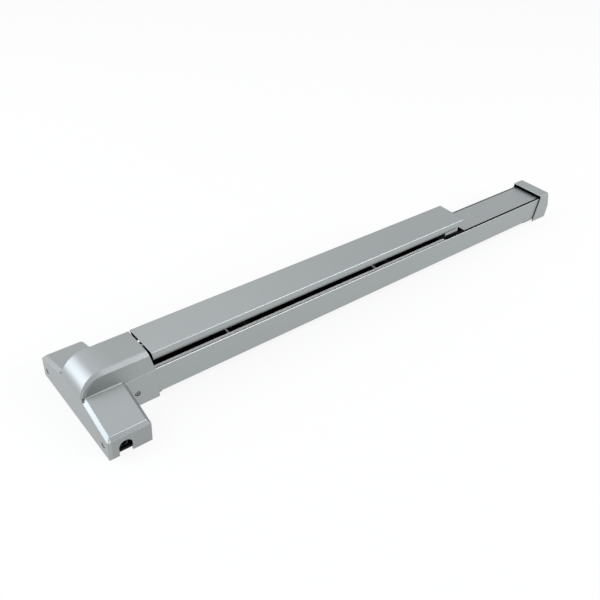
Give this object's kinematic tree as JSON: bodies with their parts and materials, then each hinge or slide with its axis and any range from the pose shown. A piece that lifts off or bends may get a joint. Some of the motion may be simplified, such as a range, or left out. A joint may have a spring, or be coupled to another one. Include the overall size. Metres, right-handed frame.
{
  "type": "panic bar",
  "caption": "Door exit bar: a crossbar head with rod connectors, a spring-loaded push pad over a long channel, a tail cover and an end cap.",
  "frame": {"origin": "centre of the four mounting holes of the head chassis, on the door face", "axes": "+X along the bar from the head to the end cap, +Y along the upper rod, +Z away from the door, the way the pad faces"},
  "size_m": [1, 0.1886, 0.08],
  "materials": {
    "cover_paint": "silver-grey paint on a zinc casting, satin",
    "cap_paint": "silver-grey paint on a zinc casting, satin",
    "channel_paint": "silver-grey paint on aluminium extrusion, satin",
    "plate_paint": "silver-grey paint on aluminium extrusion, satin",
    "pad_paint": "silver-grey paint on aluminium extrusion, satin",
    "guide_plastic": "moulded silver-grey plastic",
    "cast_zinc": "as cast zinc alloy, dull",
    "zinc_plate": "bright zinc plated pressed steel",
    "bright_steel": "turned steel",
    "black_steel": "blacked steel",
    "screw_steel": "zinc plated screws",
    "spring_steel": "spring wire"
  },
  "bodies": {
    "bar_frame": {"head_cover": "cover_paint", "head_chassis": "cast_zinc", "channel": "channel_paint", "tail_cover_plate": "plate_paint", "end_cap": "cap_paint", "tail_bracket": "cast_zinc", "head_crank_bracket": "zinc_plate", "tail_crank_bracket": "zinc_plate", "head_crank_pivot": "bright_steel", "tail_crank_pivot": "bright_steel", "bracket_rivets": "bright_steel", "rocker_pivots": "bright_steel", "upper_guide_plate": "zinc_plate", "lower_guide_plate": "zinc_plate", "guide_plate_screws": "screw_steel", "head_face_screws": "screw_steel", "skirt_screws": "screw_steel", "channel_floor_screws": "screw_steel", "end_cap_screw": "screw_steel", "head_return_spring": "spring_steel", "tail_return_spring": "spring_steel"},
    "pad": {"push_pad": "pad_paint", "pad_end_guide": "guide_plastic", "head_pad_bracket": "zinc_plate", "tail_pad_bracket": "zinc_plate"},
    "link": {"actuating_link": "zinc_plate", "retractor_plate": "zinc_plate", "retractor_rivets": "bright_steel"},
    "head_crank": {"head_bell_crank": "cast_zinc", "head_pad_pin": "bright_steel", "head_link_pin": "bright_steel"},
    "tail_crank": {"tail_bell_crank": "cast_zinc", "tail_pad_pin": "bright_steel", "tail_link_pin": "bright_steel"},
    "upper_rocker_arm": {"upper_rocker": "zinc_plate", "upper_rocker_pins": "bright_steel"},
    "lower_rocker_arm": {"lower_rocker": "zinc_plate", "lower_rocker_pins": "bright_steel"},
    "upper_rod": {"upper_rod_connector": "black_steel"},
    "lower_rod": {"lower_rod_connector": "black_steel"}
  },
  "joints": [
    {"name": "pad_push", "type": "slide", "parent": "bar_frame", "child": "pad", "axis": [0, 0, -1], "range_m": [0, 0.012], "stiffness_N_per_m": 1500, "springref_m": -0.012},
    {"name": "link_pull", "type": "slide", "parent": "bar_frame", "child": "link", "axis": [1, 0, 0], "range_m": [0, 0.00901], "deforming": ["head_return_spring", "tail_return_spring"]},
    {"name": "head_crank_turn", "type": "hinge", "parent": "bar_frame", "child": "head_crank", "pos_m": [0.23242, 0, 0.037], "axis": [0, -1, 0], "range_deg": [0, 29]},
    {"name": "tail_crank_turn", "type": "hinge", "parent": "bar_frame", "child": "tail_crank", "pos_m": [0.52542, 0, 0.037], "axis": [0, -1, 0], "range_deg": [0, 29]},
    {"name": "upper_rocker_turn", "type": "hinge", "parent": "bar_frame", "child": "upper_rocker_arm", "pos_m": [0.01378, 0.024, 0.019], "axis": [0, 0, 1], "range_deg": [0, 32.72]},
    {"name": "lower_rocker_turn", "type": "hinge", "parent": "bar_frame", "child": "lower_rocker_arm", "pos_m": [0.01378, -0.024, 0.019], "axis": [0, 0, -1], "range_deg": [0, 32.72]},
    {"name": "upper_rod_slide", "type": "slide", "parent": "bar_frame", "child": "upper_rod", "axis": [0, -1, 0], "range_m": [0, 0.01182]},
    {"name": "lower_rod_slide", "type": "slide", "parent": "bar_frame", "child": "lower_rod", "axis": [0, 1, 0], "range_m": [0, 0.01182]}
  ],
  "couplings": [
    {"joint": "link_pull", "follows": "pad_push", "ratio": 0.75},
    {"joint": "head_crank_turn", "follows": "pad_push", "rad_per_m": 42.113},
    {"joint": "tail_crank_turn", "follows": "pad_push", "rad_per_m": 42.113},
    {"joint": "upper_rocker_turn", "follows": "pad_push", "rad_per_m": 47.516},
    {"joint": "lower_rocker_turn", "follows": "pad_push", "rad_per_m": 47.516},
    {"joint": "upper_rod_slide", "follows": "pad_push", "ratio": 0.98438},
    {"joint": "lower_rod_slide", "follows": "pad_push", "ratio": 0.98438}
  ]
}
